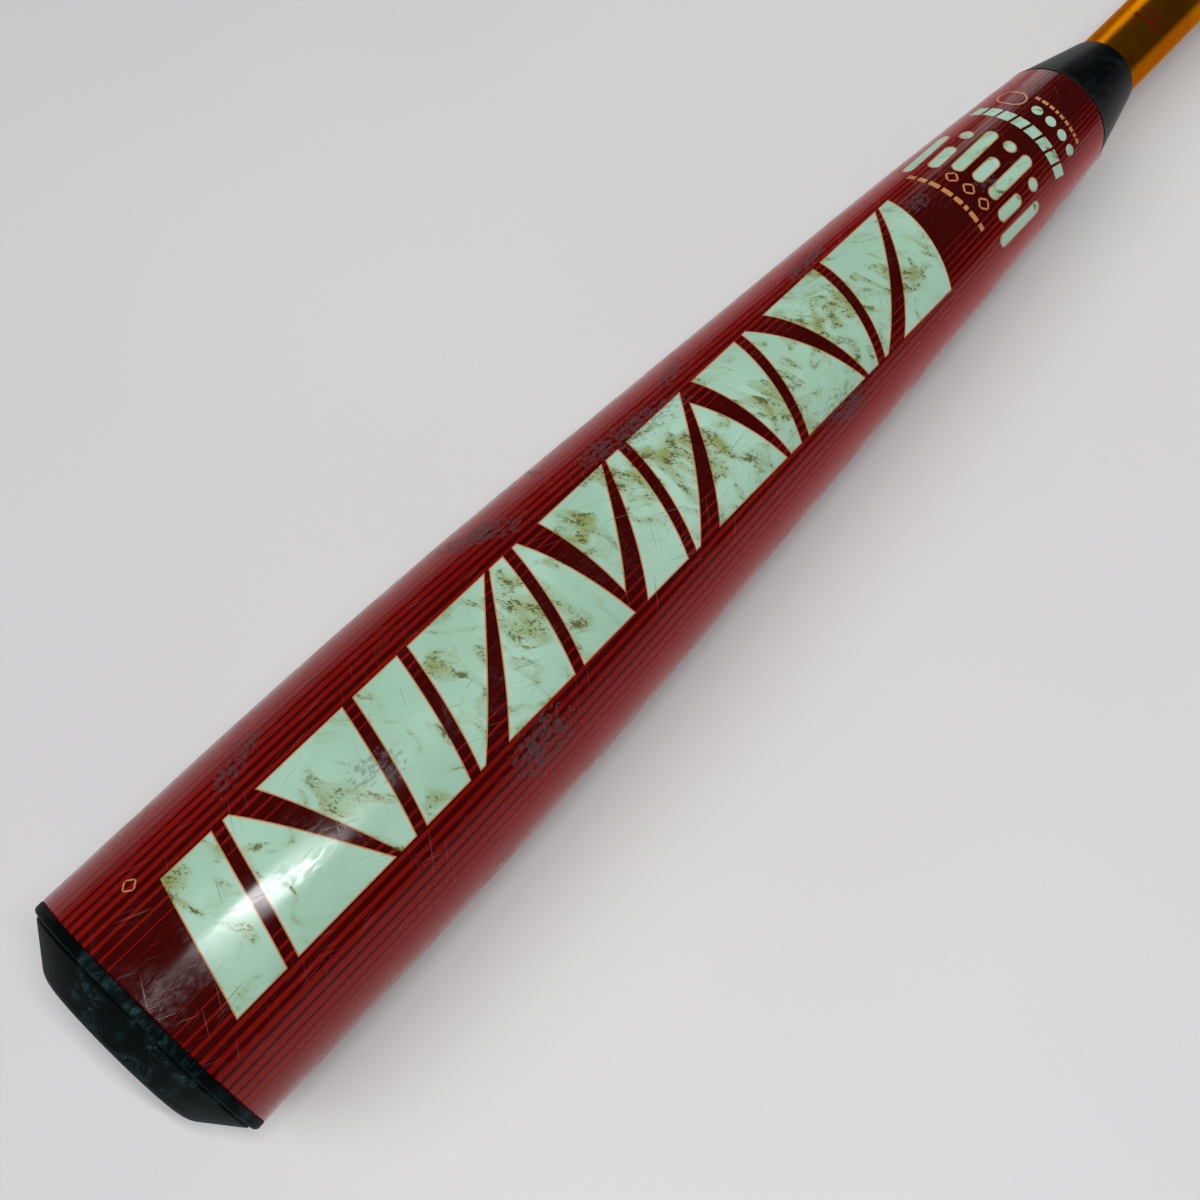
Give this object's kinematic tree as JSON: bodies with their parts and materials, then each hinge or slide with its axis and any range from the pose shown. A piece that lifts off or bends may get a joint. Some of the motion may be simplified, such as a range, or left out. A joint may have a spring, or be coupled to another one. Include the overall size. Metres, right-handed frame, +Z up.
{
  "type": "baseball bat",
  "caption": "Two-piece baseball bat lying on its side: tapered composite barrel with end cap, rubber transition collar, alloy handle, wrapped grip and knob.",
  "frame": {"origin": "on the floor, under the middle of the bat's bounding box", "axes": "+X from the end cap to the knob, along the bat as it lies; +Z up. The bat's own axis leans 0.71 degrees from X, because barrel and knob both rest on the floor"},
  "size_m": [0.8404, 0.069, 0.0697],
  "materials": {
    "painted_composite": "gloss",
    "raw_composite": "satin",
    "cap_urethane": "satin",
    "filled_resin": "matte",
    "epoxy": "satin",
    "collar_rubber": "satin",
    "clear_urethane": "satin",
    "candy_aluminium": "gloss",
    "foam_plug": "matte",
    "black_aluminium": "gloss",
    "bare_aluminium": "satin",
    "badge_resin": "gloss",
    "tape_backing": "matte",
    "grip_leather": "satin",
    "vinyl_tape": "gloss"
  },
  "bodies": {
    "root": {"barrel_shell": "painted_composite", "inner_wall": "raw_composite", "end_cap": "cap_urethane", "end_cap_weight": "filled_resin", "end_cap_adhesive": "epoxy", "transition_collar": "collar_rubber", "joint_sleeve": "clear_urethane", "joint_adhesive": "epoxy", "handle_tube": "candy_aluminium", "handle_plug": "foam_plug", "knob": "black_aluminium", "knob_weld": "bare_aluminium", "knob_weight": "bare_aluminium", "knob_badge": "badge_resin", "grip_underlay": "tape_backing", "grip_tape": "grip_leather", "grip_band": "vinyl_tape"}
  },
  "joints": []
}
